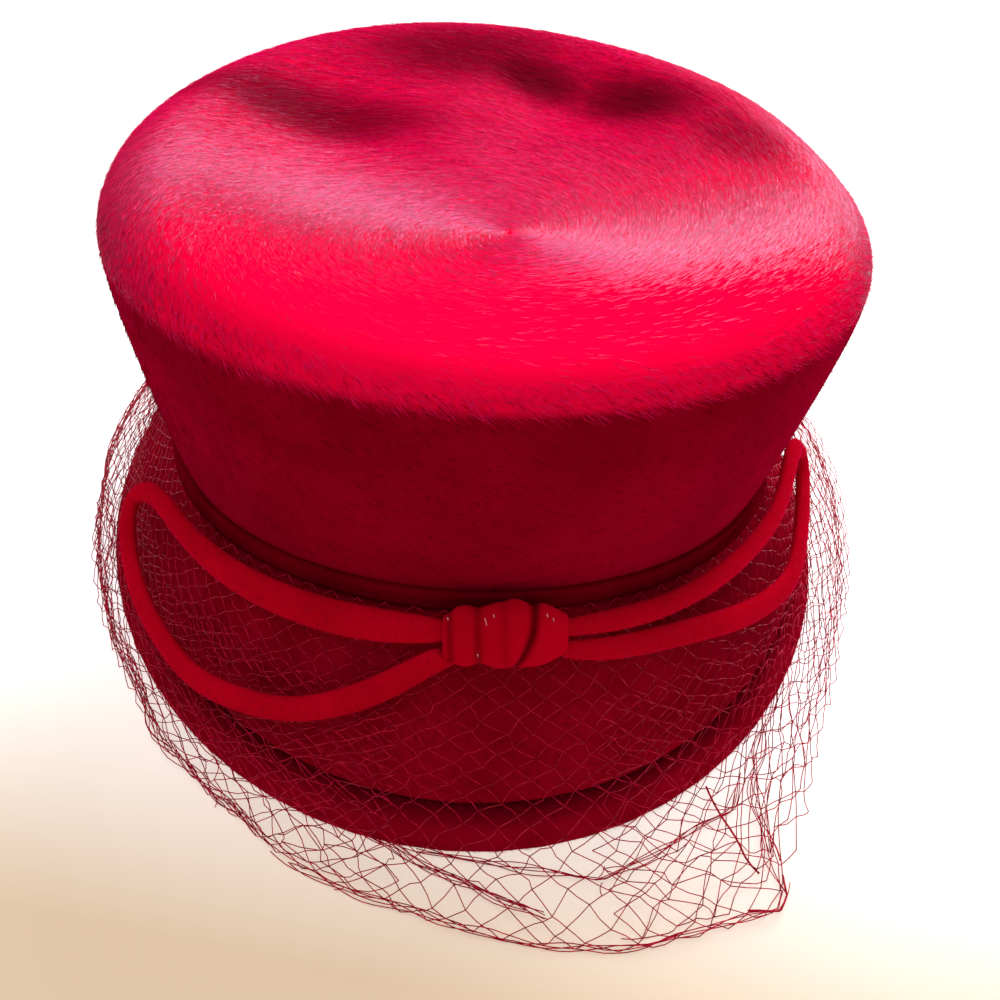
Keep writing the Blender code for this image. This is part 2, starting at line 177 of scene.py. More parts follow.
def make_stage():
    """A pale glowing floor with a warm painted shade at the front left, under a soft window from
    behind.
    """
    bpy.ops.mesh.primitive_plane_add(size=FLOOR_SIZE)
    floor = bpy.context.object
    floor.name = "floor"
    material, nodes, links, shader = new_material("floor_paper", FLOOR_WHITE, 0.7)
    shader.inputs["Specular IOR Level"].default_value = 0.1
    place = own_place(nodes)
    split = nodes.new("ShaderNodeSeparateXYZ")
    links.new(place, split.inputs[0])
    slant = nodes.new("ShaderNodeMath")
    slant.operation = 'MULTIPLY_ADD'
    links.new(split.outputs["X"], slant.inputs[0])
    slant.inputs[1].default_value = FLOOR_SLANT
    links.new(split.outputs["Y"], slant.inputs[2])
    floor_shade = ramp(nodes, links, slant.outputs[0], FLOOR_WHITE_TO, FLOOR_PAINTED_SHADE_FROM)
    paper = mixed_colour(nodes, links, floor_shade.outputs["Result"], FLOOR_WHITE, FLOOR_PAINTED_SHADE,
                         shader.inputs["Base Color"])
    links.new(paper.outputs[2], shader.inputs["Emission Color"])
    shader.inputs["Emission Strength"].default_value = FLOOR_GLOW
    floor.data.materials.append(material)
    world = bpy.data.worlds.new("soft_room")
    world.use_nodes = True
    sky = world.node_tree.nodes["Background"]
    sky.inputs["Color"].default_value = (*LIGHT_COLOUR, 1.0)
    sky.inputs["Strength"].default_value = ROOM_LIGHT
    bpy.context.scene.world = world
    bpy.context.scene.view_settings.view_transform = 'Standard'
    make_light("window", WINDOW_PLACE, WINDOW_POWER, WINDOW_SIZE)
    ceiling = make_light("ceiling", CEILING_PLACE, CEILING_POWER, CEILING_SIZE)
    ceiling.visible_glossy = False


# Materials

# Streaks of the tip: how fine they are outwards, and how many run round
STREAKS_OUT = 2600.0
STREAKS_ROUND = 7.0


def new_material(name, colour, roughness):
    """A plain material, with its nodes, its links and its shader."""
    material = bpy.data.materials.new(name)
    material.use_nodes = True
    nodes = material.node_tree.nodes
    links = material.node_tree.links
    shader = nodes["Principled BSDF"]
    shader.inputs["Base Color"].default_value = (*colour, 1.0)
    shader.inputs["Roughness"].default_value = roughness
    return material, nodes, links, shader


def mixed_colour(nodes, links, factor, low, high, target):
    """Mixes two colours by a factor socket into a target socket."""
    mix = nodes.new("ShaderNodeMix")
    mix.data_type = 'RGBA'
    mix.inputs[6].default_value = (*low, 1.0)
    mix.inputs[7].default_value = (*high, 1.0)
    links.new(factor, mix.inputs[0])
    links.new(mix.outputs[2], target)
    return mix


def own_place(nodes):
    """Where a point lies in its piece's own frame, in metres."""
    return nodes.new("ShaderNodeTexCoord").outputs["Object"]


def own_value(nodes, name):
    """A value that the mesh keeps on its points."""
    kept = nodes.new("ShaderNodeAttribute")
    kept.attribute_name = name
    return kept


def noise(nodes, links, vector, scale, detail=2.0, roughness=0.5):
    node = nodes.new("ShaderNodeTexNoise")
    node.inputs["Scale"].default_value = scale
    node.inputs["Detail"].default_value = detail
    node.inputs["Roughness"].default_value = roughness
    links.new(vector, node.inputs["Vector"])
    return node


def ramp(nodes, links, value, low, high):
    """0 up to the low end and 1 from the high end on."""
    node = nodes.new("ShaderNodeMapRange")
    node.inputs["From Min"].default_value = low
    node.inputs["From Max"].default_value = high
    links.new(value, node.inputs["Value"])
    return node


def mottled(nodes, links, scale, detail, low, high, target):
    """Mixes two colours in soft patches into a target socket."""
    patches = noise(nodes, links, own_place(nodes), scale, detail, 0.6)
    spread = ramp(nodes, links, patches.outputs["Fac"], 0.35, 0.65)
    mixed_colour(nodes, links, spread.outputs["Result"], low, high, target)


def shade_over(material, share, colour):
    """Darkens what a material has so far towards a colour, by a share socket."""
    nodes = material.node_tree.nodes
    links = material.node_tree.links
    target = nodes["Principled BSDF"].inputs["Base Color"]
    plain = target.links[0].from_socket
    mix = mixed_colour(nodes, links, share, colour, colour, target)
    links.new(plain, mix.inputs[6])
    return mix


def fine_grain(nodes, links, scale, strength, shader):
    """A fine uneven bump, as of short fibres."""
    fibres = noise(nodes, links, own_place(nodes), scale, 3.0, 0.7)
    bump = nodes.new("ShaderNodeBump")
    bump.inputs["Strength"].default_value = strength
    bump.inputs["Distance"].default_value = 0.0004
    links.new(fibres.outputs["Fac"], bump.inputs["Height"])
    links.new(bump.outputs["Normal"], shader.inputs["Normal"])


def dull_sheen(shader, weight, roughness, tint):
    """No gloss, but a coloured sheen."""
    shader.inputs["Specular IOR Level"].default_value = 0.0
    shader.inputs["Sheen Weight"].default_value = weight
    shader.inputs["Sheen Roughness"].default_value = roughness
    shader.inputs["Sheen Tint"].default_value = (*tint, 1.0)


def felt_material(name, dark, bright, sheen, roughness=0.75, grain=0.25):
    """Smooth dull felt: soft patches of colour, a fine grain and a little sheen."""
    material, nodes, links, shader = new_material(name, bright, roughness)
    mottled(nodes, links, 60.0, 4.0, dark, bright, shader.inputs["Base Color"])
    fine_grain(nodes, links, 1500.0, grain, shader)
    dull_sheen(shader, sheen, 0.3, FELT_SHEEN)
    return material


def vector_step(nodes, links, operation, source):
    """One step of vector arithmetic on a source socket."""
    step = nodes.new("ShaderNodeVectorMath")
    step.operation = operation
    links.new(source, step.inputs[0])
    return step


def brushed_colour(nodes, links):
    """Fine streaks that run round the whirl: 0 in the dark ones and 1 in the light ones."""
    centred = nodes.new("ShaderNodeMapping")
    centred.inputs["Location"].default_value = -WHIRL
    links.new(own_place(nodes), centred.inputs["Vector"])
    flat = vector_step(nodes, links, 'MULTIPLY', centred.outputs["Vector"])
    flat.inputs[1].default_value = (1.0, 1.0, 0.0)
    away = vector_step(nodes, links, 'LENGTH', flat.outputs["Vector"])
    facing = vector_step(nodes, links, 'NORMALIZE', flat.outputs["Vector"])
    turn = nodes.new("ShaderNodeSeparateXYZ")
    links.new(facing.outputs["Vector"], turn.inputs[0])
    polar = nodes.new("ShaderNodeCombineXYZ")
    for source, scale, target in (
        (away.outputs["Value"], STREAKS_OUT, 0),
        (turn.outputs["X"], STREAKS_ROUND, 1),
        (turn.outputs["Y"], STREAKS_ROUND, 2),
    ):
        stretch = nodes.new("ShaderNodeMath")
        stretch.operation = 'MULTIPLY'
        stretch.inputs[1].default_value = scale
        links.new(source, stretch.inputs[0])
        links.new(stretch.outputs[0], polar.inputs[target])
    streaks = noise(nodes, links, polar.outputs[0], 1.0, 3.0, 0.6)
    return ramp(nodes, links, streaks.outputs["Fac"], 0.3, 0.7)


def crown_material():
    """The crown's felt: brushed on the tip and plain deep red on the side, with the tip painted
    brighter as painted light from above and patches of painted shade on it.
    """
    material, nodes, links, shader = new_material("crown_felt", TIP_BRIGHT, 0.6)
    colour = shader.inputs["Base Color"]
    streaks = brushed_colour(nodes, links)
    mixed_colour(nodes, links, streaks.outputs["Result"], TIP_DEEP, TIP_BRIGHT, colour)
    # Painted shade in the tip's patches
    tip = shade_over(material, own_value(nodes, "dark").outputs["Fac"], TIP_PAINTED_SHADE)
    # Where the faces turn up to the tip the colour is painted bright: painted light from above
    whole = mixed_colour(nodes, links, own_value(nodes, "tip").outputs["Fac"],
                         SIDE_BRIGHT, TIP_BRIGHT, colour)
    links.new(tip.outputs[2], whole.inputs[7])
    mottled(nodes, links, 40.0, 4.0, SIDE_DEEP, SIDE_BRIGHT, whole.inputs[6])
    fine_grain(nodes, links, 1300.0, 0.2, shader)
    dull_sheen(shader, 0.12, 0.35, CROWN_SHEEN)
    return material


def fibre_material(name, dark, bright, roughness, gloss=0.0):
    """Fine fibres, a little lighter or darker by tufts."""
    material, nodes, links, shader = new_material(name, bright, roughness)
    mottled(nodes, links, 700.0, 2.0, dark, bright, shader.inputs["Base Color"])
    shader.inputs["Specular IOR Level"].default_value = gloss
    return material


def tip_nap_material(name, gloss):
    """The tip's hairs: darkened by painted shade in the patches and by their own random tone, with a
    pink gloss that spreads across them.
    """
    material, nodes, links, shader = new_material(name, NAP_BRIGHT, 0.34)
    mottled(nodes, links, 900.0, 2.0, NAP_DEEP, NAP_BRIGHT, shader.inputs["Base Color"])
    shade_over(material, own_value(nodes, "dark").outputs["Fac"], TIP_PAINTED_SHADE)
    links.new(own_value(nodes, "across").outputs["Vector"], shader.inputs["Tangent"])
    shader.inputs["Anisotropic"].default_value = 0.85
    shader.inputs["Specular IOR Level"].default_value = gloss
    shader.inputs["Specular Tint"].default_value = (*NAP_SHINE, 1.0)
    return material


# Modelling helpers

def link(piece):
    bpy.context.scene.collection.objects.link(piece)
    return piece


def select_only(piece):
    bpy.ops.object.select_all(action='DESELECT')
    piece.select_set(True)
    bpy.context.view_layer.objects.active = piece


def soft_copy(node, name, levels, crease=0.0, shape=None):
    """A merged copy of a solid, shaped if asked and smoothed, for the finish to sit on."""
    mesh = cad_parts[node].data.copy()
    mesh.materials.clear()
    piece = link(bpy.data.objects.new(name, mesh))
    select_only(piece)
    bpy.ops.object.mode_set(mode='EDIT')
    bpy.ops.mesh.select_all(action='SELECT')
    bpy.ops.mesh.customdata_custom_splitnormals_clear()
    bpy.ops.mesh.remove_doubles(threshold=0.00002)
    bpy.ops.mesh.tris_convert_to_quads(face_threshold=0.9, shape_threshold=0.9)
    bpy.ops.mesh.mark_sharp(clear=True)
    if crease:
        bpy.ops.mesh.select_all(action='DESELECT')
        bpy.ops.mesh.edges_select_sharp(sharpness=math.radians(35))
        bpy.ops.transform.edge_crease(value=crease)
    bpy.ops.object.mode_set(mode='OBJECT')
    if shape:
        shape(piece)
    smooth = piece.modifiers.new("smooth", 'SUBSURF')
    smooth.levels = levels
    smooth.render_levels = levels
    bpy.ops.object.modifier_apply(modifier="smooth")
    bpy.ops.object.shade_smooth()
    return piece


def finish_piece(piece, material, slot, *nodes):
    """Gives a piece its material and body (the slot is not used), and hides the solids it stands for.
    """
    piece.data.materials.clear()
    piece.data.materials.append(material)
    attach(piece, "root")
    if nodes:
        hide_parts(*nodes)


def level_arm(place):
    """From the hat's axis level out to a place."""
    arm = place - HAT
    arm.z = 0.0
    return arm


def mesh_piece(name, points, faces):
    mesh = bpy.data.meshes.new(name)
    mesh.from_pydata(points.tolist(), [], faces.tolist())
    mesh.update()
    mesh.shade_smooth()
    return link(bpy.data.objects.new(name, mesh))


def unit(vectors):
    return vectors / np.maximum(np.linalg.norm(vectors, axis=1, keepdims=True), 1e-12)


def vertex_values(mesh, name):
    """Three numbers for each vertex: its place (co) or its normal."""
    values = np.zeros(len(mesh.vertices) * 3)
    mesh.vertices.foreach_get(name, values)
    return values.reshape(-1, 3)


# Nap

HAIR_WIDTH = 0.1 * MM

# How far below the crown's top the tip's nap and the shoulder reach
TIP_DEPTH = 30 * MM
SHOULDER_DEPTH = 34 * MM


def surface_points(piece, count, wanted, rng):
    """Random places on a piece's outer faces, with their normals, where wanted says so."""
    mesh = piece.data
    mesh.calc_loop_triangles()
    corners = vertex_values(mesh, "co")
    normals = vertex_values(mesh, "normal")
    triangles = np.zeros(len(mesh.loop_triangles) * 3, dtype=int)
    mesh.loop_triangles.foreach_get("vertices", triangles)
    triangles = triangles.reshape(-1, 3)
    a, b, c = (corners[triangles[:, side]] for side in range(3))
    area = np.linalg.norm(np.cross(b - a, c - a), axis=1) / 2
    chance = area * wanted((a + b + c) / 3, unit(np.cross(b - a, c - a)))
    picks = rng.choice(len(triangles), size=count, p=chance / chance.sum())
    first, second = rng.random((2, count))
    flip = first + second > 1
    first[flip], second[flip] = 1 - first[flip], 1 - second[flip]
    shares = np.stack([1 - first - second, first, second], axis=1)[:, :, None]
    places = (corners[triangles[picks]] * shares).sum(axis=1)
    outs = unit((normals[triangles[picks]] * shares).sum(axis=1))
    return places, outs


def grow_nap(name, ground, count, length, width, lift, flow, wanted, seed, material, slot):
    """Thousands of fine closed hairs, each a three-sided spike lying along the flow."""
    rng = np.random.default_rng(seed)
    places, outs = surface_points(ground, count, wanted, rng)
    along = flow(places)
    along = along + rng.normal(0.0, 0.13, along.shape)
    along = unit(along - outs * (along * outs).sum(axis=1, keepdims=True))
    across = np.cross(outs, along)
    long = length * rng.uniform(0.6, 1.3, (count, 1))
    rise = lift * rng.uniform(0.2, 1.8, (count, 1))
    roots = places - outs * width * 0.6
    tips = places + along * long + outs * long * rise
    half = width / 2 * rng.uniform(0.7, 1.2, (count, 1))
    ring = [roots + across * half, roots - across * half, roots + outs * half * 1.6]
    points = np.stack([*ring, tips], axis=1).reshape(-1, 3)
    points[:, 2] = np.maximum(points[:, 2], points[:, 2] * 0.01)
    start = np.arange(count)[:, None, None] * 4
    spike = np.array([[0, 1, 2], [1, 0, 3], [2, 1, 3], [0, 2, 3]])
    faces = (start + spike[None]).reshape(-1, 3)
    piece = mesh_piece(name, points, faces)
    lean = outs + across * rng.normal(0.0, 0.32, (count, 1)) + along * rng.normal(0.0, 0.1, (count, 1))
    piece.data.normals_split_custom_set_from_vertices(np.repeat(unit(lean), 4, axis=0).tolist())
    kept = piece.data.attributes.new("across", 'FLOAT_VECTOR', 'POINT')
    kept.data.foreach_set("vector", np.repeat(across, 4, axis=0).ravel())
    # Each hair is darkened by the deeper of the painted shade in its patch and its own random tone
    own = 0.5 * rng.random(count) ** 3
    keep_shade_and_tone(piece, np.repeat(np.maximum(patch_share(places, PAINTED_SHADE_PATCHES), own), 4))
    finish_piece(piece, material, slot)


def patch_share(places, patches):
    """How far each place of the tip lies in some soft-edged oval patches."""
    share = np.zeros(len(places))
    for right, back, half_long, half_wide, turn, strength in patches:
        cosine, sine = math.cos(math.radians(turn)), math.sin(math.radians(turn))
        x = (places[:, 0] - HAT.x) / MM - right
        y = (places[:, 1] - HAT.y) / MM - back
        along = (x * cosine + y * sine) / half_long
        over = (y * cosine - x * sine) / half_wide
        share = np.maximum(share, strength * np.exp(-(along ** 2 + over ** 2) ** 1.5))
    return share


def keep_shade_and_tone(piece, shares):
    """Keeps on each point how far its colour is darkened: painted shade, and on the tip's hairs also
    their own random tone.
    """
    kept = piece.data.attributes.new("dark", 'FLOAT', 'POINT')
    kept.data.foreach_set("value", shares)


def round_and_out(places, centre):
    """Level directions round a centre and away from it, at each place."""
    arm = places - np.array(centre)
    arm[:, 2] = 0.0
    arm = unit(arm)
    return np.stack([-arm[:, 1], arm[:, 0], np.zeros(len(arm))], axis=1), arm


def whirl_flow(places):
    """The tip's nap runs round a whirl near the middle and drifts slowly outwards."""
    round_it, arm = round_and_out(places, WHIRL)
    return round_it * 0.96 + arm * 0.28


def side_flow(places):
    """The side's nap is brushed round the crown and slightly down."""
    return round_and_out(places, HAT)[0] * 0.8 + np.array([0.0, 0.0, -0.6])


def edge_flow(places):
    """The shoulder's nap turns round the crown and over its edge."""
    round_it, arm = round_and_out(places, HAT)
    return round_it * 0.75 + arm * 0.5 + np.array([0.0, 0.0, -0.35])


def facing_out(centres, normals):
    """How far each face looks away from the hat's axis: 1 straight out, -1 straight in."""
    return (round_and_out(centres, HAT)[1] * normals).sum(axis=1)


def smooth_step(values, low, high):
    share = np.clip((values - low) / (high - low), 0.0, 1.0)
    return share * share * (3 - 2 * share)


def on_tip(centres, normals):
    """The tip, with the nap thinning out towards the smooth front."""
    high = centres[:, 2] > CROWN_HIGH.z - TIP_DEPTH
    beside = np.abs(centres[:, 0] - WHIRL.x)
    front = smooth_step(WHIRL.y - centres[:, 1] - 0.16 * beside, -4 * MM, 34 * MM)
    back = smooth_step(centres[:, 1] - WHIRL.y, 18 * MM, 60 * MM)
    thin = (1 - 0.97 * front) * (1 - 0.85 * back) * (1 - 0.9 * patch_share(centres, PAINTED_SHADE_PATCHES))
    lobes = 0.35 + 0.65 * patch_share(centres, GLOSSY_HIGHLIGHT_LOBES)
    return high * (normals[:, 2] > 0.15) * thin * lobes


def on_back(centres, normals):
    """The back of the tip, where the nap is longest."""
    high = centres[:, 2] > CROWN_HIGH.z - TIP_DEPTH
    behind = smooth_step(centres[:, 1] - WHIRL.y, 8 * MM, 45 * MM)
    return high * (normals[:, 2] > 0.15) * behind


def on_edge(centres, normals):
    """The shoulder all round, where the nap turns over."""
    up = normals[:, 2]
    high = centres[:, 2] > CROWN_HIGH.z - SHOULDER_DEPTH
    return high * (up > 0.12) * (up < 0.85) * (facing_out(centres, normals) > 0.2)


def anywhere(centres, normals):
    """All over a piece."""
    return np.ones(len(centres))


def on_side(centres, normals):
    """Faces that look outwards and neither far up nor straight down."""
    up = normals[:, 2]
    return ((facing_out(centres, normals) > 0.3) & (up < 0.6) & (up > -0.75)).astype(float)


def mark_tip(crown):
    """Keeps on each of the crown's points how far it belongs to the tip, whose upward faces are
    painted bright as painted light from above, and its painted shade.
    """
    mesh = crown.data
    points = vertex_values(mesh, "co")
    up = vertex_values(mesh, "normal")[:, 2]
    high = smooth_step(points[:, 2], CROWN_HIGH.z - SHOULDER_DEPTH, CROWN_HIGH.z - 24 * MM)
    kept = mesh.attributes.new("tip", 'FLOAT', 'POINT')
    kept.data.foreach_set("value", smooth_step(up, 0.05, 0.4) * high)
    # Painted shade in the tip's patches
    keep_shade_and_tone(crown, patch_share(points, PAINTED_SHADE_PATCHES))


# Growths of hair: piece, ground, hair, count, length, lift, flow, where, seed
NAPS = (
    ("tip_nap_1", "crown", "long", 34000, 4.6 * MM, 0.07, whirl_flow, on_back, 3),
    ("tip_nap_2", "crown", "short", 48000, 2.8 * MM, 0.07, whirl_flow, on_tip, 4),
    ("tip_nap_3", "crown", "short", 48000, 2.2 * MM, 0.07, whirl_flow, on_tip, 5),
    ("edge_nap", "crown", "edge", 14000, 2.4 * MM, 0.22, edge_flow, on_edge, 15),
    ("side_nap", "crown", "side", 14000, 1.8 * MM, 0.22, side_flow, on_side, 5),
    ("base_nap", "base", "low", 10000, 1.5 * MM, 0.2, side_flow, on_side, 7),
    ("brim_nap", "brim", "low", 6000, 1.5 * MM, 0.2, side_flow, on_side, 9),
)


def tuck_foot(crown):
    """Lengthens the inner edge of the crown's foot, which is sewn in behind the base."""
    band = surface_tree(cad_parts["waist_band"])
    for vert in crown.data.vertices:
        away = level_arm(vert.co)
        foot = band_height(band, math.atan2(away.x, -away.y))
        if vert.co.z < foot + 3.2 * MM and vert.normal.dot(away) < 0:
            vert.co.z -= 3 * MM


def brim_material():
    """Base felt that falls into shade just under the tier's edge."""
    material = felt_material("brim_felt", BASE_DEEP, BASE_BRIGHT, 0.15)
    nodes = material.node_tree.nodes
    links = material.node_tree.links
    height = nodes.new("ShaderNodeSeparateXYZ")
    links.new(own_place(nodes), height.inputs[0])
    shade = ramp(nodes, links, height.outputs["Z"], BRIM_TOP - 6 * MM, BRIM_TOP - 1 * MM)
    shade_over(material, shade.outputs["Result"], BRIM_SHADE)
    return material


def make_felt():
    """The crown, the base and the brim in their felts, and the nap that grows on them."""
    crown_felt = crown_material()
    base_felt = felt_material("base_felt", BASE_DEEP, BASE_BRIGHT, 0.15)
    hairs = {
        "short": tip_nap_material("tip_nap", 0.8),
        "long": tip_nap_material("tip_long_nap", 0.04),
        "edge": fibre_material("edge_nap", TIP_BRIGHT, (1.0, 0.010, 0.14), 0.7),
        "side": fibre_material("side_nap", SIDE_DEEP, SIDE_BRIGHT, 0.7),
        "low": fibre_material("base_nap", BASE_DEEP, BASE_BRIGHT, 0.7),
    }
    grounds = {
        "crown": soft_copy("crown", "crown_felt_body", 2, 0.0, tuck_foot),
        "base": soft_copy("base", "base_felt_body", 2, 0.7),
        "brim": soft_copy("brim", "brim_felt_body", 2, 0.7),
    }
    mark_tip(grounds["crown"])
    finish_piece(grounds["crown"], crown_felt, "crown_felt", "crown")
    finish_piece(grounds["base"], base_felt, "base_felt", "base")
    finish_piece(grounds["brim"], brim_material(), "base_felt", "brim")
    for name, ground, hair, count, length, lift, flow, wanted, seed in NAPS:
        slot = "crown_felt" if ground == "crown" else "base_felt"
        grow_nap(name, grounds[ground], count, length, HAIR_WIDTH, lift, flow, wanted, seed,
                 hairs[hair], slot)


# Bow

KNOT_MIDDLE = (KNOT_LOW + KNOT_HIGH) / 2
KNOT_HALF = (KNOT_HIGH.x - KNOT_LOW.x) / 2

# A loop's ends: how far towards the knot's middle they move, and the share of the gap
# to its middle line that they close
END_SHIFT = 3.5 * MM
END_CLOSE = 0.35

# The right loop's turn: degrees from the front between which its shift sets in, the
# shift in millimetres right, back and up, and how far it moves in towards the axis
TURN_FROM = 46.0
TURN_TO = 66.0
TURN_SHIFT = Vector((0.1, 3.0, 4.2))
TURN_IN = 2.4

# How far the band's inner face is pressed in
BAND_PRESS = 0.9 * MM

# Folds of the knot: share of the half width at the top and at the foot, width, depth
KNOT_FOLDS = (
    (-0.46, -0.42, 0.10, 0.5 * MM),
    (-0.04, 0.00, 0.09, 0.35 * MM),
    (0.44, 0.10, 0.10, 0.7 * MM),
    (-0.90, -0.86, 0.08, 0.5 * MM),
)

# The knot's height along it: share of the half width, share of the height
KNOT_OUTLINE = ((-1.0, 0.86), (-0.8, 0.96), (-0.3, 0.96), (0.2, 1.08), (0.5, 1.02), (1.0, 0.72))


def tuck_ends(piece):
    """Draws a loop's two ends together and in under the knot."""
    for vert in piece.data.vertices:
        beside = abs(vert.co.x - KNOT_MIDDLE.x)
        if abs(vert.co.y - KNOT_MIDDLE.y) < 13 * MM:
            near = 1 - smooth_step(beside, KNOT_HALF, KNOT_HALF + 11 * MM)
            side = 1 if vert.co.x > KNOT_MIDDLE.x else -1
            vert.co.x -= side * near * END_SHIFT
            vert.co.y += (KNOT_MIDDLE.y - vert.co.y) * END_CLOSE * near
            vert.co.z += (KNOT_MIDDLE.z - vert.co.z) * END_CLOSE * near


def fold_knot(piece):
    """Presses the wrap's folds into the knot and notes how deep in one each place lies, as painted
    shade for its creases.
    """
    shares = []
    for vert in piece.data.vertices:
        down = (KNOT_HIGH.z - vert.co.z) / (KNOT_HIGH.z - KNOT_LOW.z)
        place = (vert.co.x - KNOT_MIDDLE.x) / KNOT_HALF
        depth = 0.0
        for top, foot, width, deep in KNOT_FOLDS:
            line = top + (foot - top) * down * down
            depth += deep * math.exp(-((place - line) / width) ** 2)
        shares.append(min(1.0, (depth / MM) ** 2 * 2.4))
        swell = 0.35 * MM * math.cos(place * 9.0) * (1 - place * place)
        out = Vector((0.0, vert.co.y - KNOT_MIDDLE.y, vert.co.z - KNOT_MIDDLE.z)).normalized()
        vert.co += out * (swell - depth)
        tall = np.interp(place, *zip(*KNOT_OUTLINE)) - 1
        vert.co.y += (vert.co.y - KNOT_MIDDLE.y) * tall
        vert.co.z += (vert.co.z - KNOT_MIDDLE.z) * tall
    keep_shade_and_tone(piece, shares)


def draw_up_loop(piece):
    """Tucks the loop's ends in and draws a right loop's turn up towards the waist."""
    tuck_ends(piece)
    for vert in piece.data.vertices:
        away = level_arm(vert.co)
        turn = math.degrees(math.atan2(away.x, -away.y))
        near = smooth_step(turn, TURN_FROM, TURN_TO)
        away.normalize()
        vert.co += (TURN_SHIFT - away * TURN_IN) * MM * near


def press_band(piece):
    """Presses the band's inner face against the crown and the base."""
    for vert in piece.data.vertices:
        away = level_arm(vert.co)
        away.normalize()
        if vert.normal.dot(away) < 0.1:
            vert.co -= away * BAND_PRESS


# Specks of pale lint on the knot: share along it, share down it, length in millimetres
LINT = ((-0.93, 0.08, 1.1), (-0.35, 0.12, 2.3), (-0.22, 0.04, 0.9), (0.62, 0.05, 1.0),
        (0.72, 0.15, 0.8), (-0.46, 0.9, 0.7))


def make_lint(knot):
    """A few pale specks and thread ends caught on the knot."""
    pale = fibre_material("pale_lint", (0.75, 0.20, 0.22), (0.9, 0.35, 0.36), 0.6)
    tree = surface_tree(knot)
    across = Vector((0.0, -0.6, 0.8))
    specks = []
    for along, down, long in LINT:
        tall = (KNOT_HIGH.z - KNOT_LOW.z) * (0.5 - down)
        start = KNOT_MIDDLE + Vector((along * KNOT_HALF, 0.0, tall)) + across * 0.05
        place = tree.ray_cast(start, -across)[0]
        if place is not None:
            end = Vector((0.12, -0.3, -0.5)).normalized() * long * MM
            specks.append([place + across * 0.15 * MM, place + end / 2 + across * 0.3 * MM,
                           place + end])
    finish_piece(thread_mesh("knot_lint", specks, 0.16 * MM), pale, "bow_felt")


def make_bow():
    """The two loops with their fuzz, the folded knot with its lint, and the waist band."""
    velvet = felt_material("bow_velvet", BOW_DEEP, BOW_BRIGHT, 0.4, 0.7, 0.2)
    fuzz = fibre_material("bow_fuzz", BOW_BRIGHT, (0.62, 0.004, 0.05), 0.7)
    # The right loop's fuzz is painted lighter and pinker than the left's: painted light from the
    # window on the right
    lit_fuzz = fibre_material("bow_lit_fuzz", BOW_BRIGHT, (0.72, 0.012, 0.07), 0.7)
    for seed, node in enumerate(("bow_loop_left", "bow_loop_right")):
        loop = soft_copy(node, node + "_rouleau", 2, 0.0, draw_up_loop)
        finish_piece(loop, velvet, "bow_felt", node)
        grow_nap(node + "_fuzz", loop, 5000, 0.9 * MM, 0.08 * MM, 0.5, side_flow,
                 anywhere, 21 + seed, lit_fuzz if seed else fuzz, "bow_felt")
    knot = soft_copy("bow_knot", "bow_knot_wrap", 3)
    relax = knot.modifiers.new("relax", 'SMOOTH')
    relax.factor = 0.7
    relax.iterations = 12
    select_only(knot)
    bpy.ops.object.modifier_apply(modifier="relax")
    fold_knot(knot)
    folded = felt_material("knot_velvet", BOW_DEEP, BOW_BRIGHT, 0.4, 0.7, 0.2)
    # Painted shade in the knot's creases
    creases = own_value(folded.node_tree.nodes, "dark")
    shade_over(folded, creases.outputs["Fac"], CREASE_SHADE)
    finish_piece(knot, folded, "bow_felt", "bow_knot")
    make_lint(knot)
    band = soft_copy("waist_band", "waist_band_strip", 1, 0.4, press_band)
    # Painted shade: the band's felt is darker than the bow's
    shaded = felt_material("band_painted_shade_felt", BAND_PAINTED_SHADE_DEEP, BAND_PAINTED_SHADE_BRIGHT, 0.0)
    finish_piece(band, shaded, "bow_felt", "waist_band")


# Veil

THREAD_RADIUS = 0.12 * MM
THICK_RADIUS = 2.2 * THREAD_RADIUS
NET_COLUMNS = 98
NET_ROWS = 26
NET_FLOOR = 6 * MM

# How many lines the net's surface has round the hat, and points of each on the felt
VEIL_LINES = 120
VEIL_ON_FELT = 10

# The net past the tier's edge: share of the reach, share of the tier's height
VEIL_PAST_EDGE = ((0.30, 0.80), (0.62, 0.50))

# How far from the axis the level rays start
RAY_START = 0.2

# Lines on the floor that the net is gathered to: threads that run along it, how far they
# wander in millimetres, and its points in millimetres right of and behind the hat's middle
GATHERS = (
    (5, 2.0, ((-100, 8), (-94, -26), (-86, -54), (-72, -79), (-59, -95), (-46, -104))),
    (6, 1.2, ((-57, -86), (-41, -97), (-20, -107.5), (-6, -116), (12, -125.5))),
    (4, 0.8, ((-20, -106.5), (-7, -110.5), (5, -113), (21, -116), (32, -112), (45, -105), (52, -102),
              (57, -90))),
    (5, 1.8, ((90, -31), (78, -56), (66, -79), (58, -97), (57.5, -111), (58.5, -122))),
    (4, 1.0, ((-48, -105), (-34, -114), (-20, -120), (-12, -123), (0, -127), (19, -130), (29, -129.5),
              (37, -128), (44, -126), (56, -124.5), (60, -117))),
)
GATHER_REACH = 4.2 * MM
GATHER_PULL = 0.72

# A few thick loose threads on the right
THICK_THREADS = (
    ((46, -91), (49.5, -102), (51, -107.5), (52, -114), (54.5, -117.5), (55, -120), (57.5, -124)),
    ((44, -126), (50, -124.2), (56, -124.5), (59, -121.5), (60, -117), (59, -111)),
)

# Where the net's hem lies: degrees from the front, reach past the rim in millimetres
HEM = (
    (-180, 12.5), (-145, 11), (-118, 12), (-90, 7.5), (-62, 6.3), (-35, 7.5), (-15, 12),
    (0, 18), (11, 24.5), (20, 29), (27, 29), (35, 22), (46, 13), (62, 10), (80, 12.5),
    (100, 18), (122, 17), (150, 13), (180, 12.5),
)


